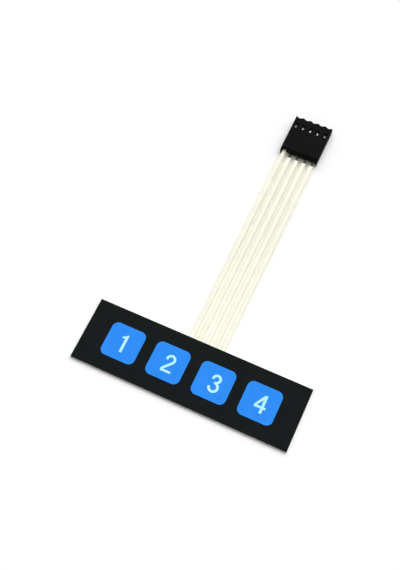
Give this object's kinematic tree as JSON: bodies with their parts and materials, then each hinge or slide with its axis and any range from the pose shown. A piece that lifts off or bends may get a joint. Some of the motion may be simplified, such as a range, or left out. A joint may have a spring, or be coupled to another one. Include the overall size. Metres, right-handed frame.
{
  "type": "membrane keypad",
  "caption": "Flat laminated key panel with a row of numbered keys, a clear flat tail with printed silver lines and a pin socket on its end.",
  "frame": {"origin": "centre of the panel's back face, on the surface that it lies on", "axes": "+X along the row of keys, +Y from the panel along the tail to the socket, +Z out of the keys' faces"},
  "size_m": [0.069, 0.1048, 0.0025],
  "materials": {
    "liner_paper": "calendered, silicone coated",
    "adhesive": "tacky acrylic film",
    "clear_film": "clear polyester, slightly yellow",
    "silver_ink": "screen printed and lacquered",
    "spacer_film": "die-cut polyester, adhesive on both sides",
    "carbon_pad": "screen printed carbon",
    "overlay_film": "polyester, velvet face",
    "black_print": "screen printed, fine velvet texture",
    "blue_print": "screen printed, fine velvet texture",
    "white_print": "screen printed",
    "black_moulding": "moulded, fine spark texture",
    "tin_plate": "stamped, tin plated"
  },
  "bodies": {
    "root": {"release_liner": "liner_paper", "mount_adhesive": "adhesive", "circuit_film": "clear_film", "trace_common": "silver_ink", "trace_key_1": "silver_ink", "trace_key_2": "silver_ink", "trace_key_3": "silver_ink", "trace_key_4": "silver_ink", "spacer": "spacer_film", "pad_1": "carbon_pad", "pad_2": "carbon_pad", "pad_3": "carbon_pad", "pad_4": "carbon_pad", "contact_film": "clear_film", "overlay_adhesive": "adhesive", "overlay_film": "overlay_film", "print_panel": "black_print", "print_key_1": "blue_print", "print_key_2": "blue_print", "print_key_3": "blue_print", "print_key_4": "blue_print", "socket_housing": "black_moulding", "terminal_1": "tin_plate", "terminal_2": "tin_plate", "terminal_3": "tin_plate", "terminal_4": "tin_plate", "terminal_5": "tin_plate"}
  },
  "joints": []
}
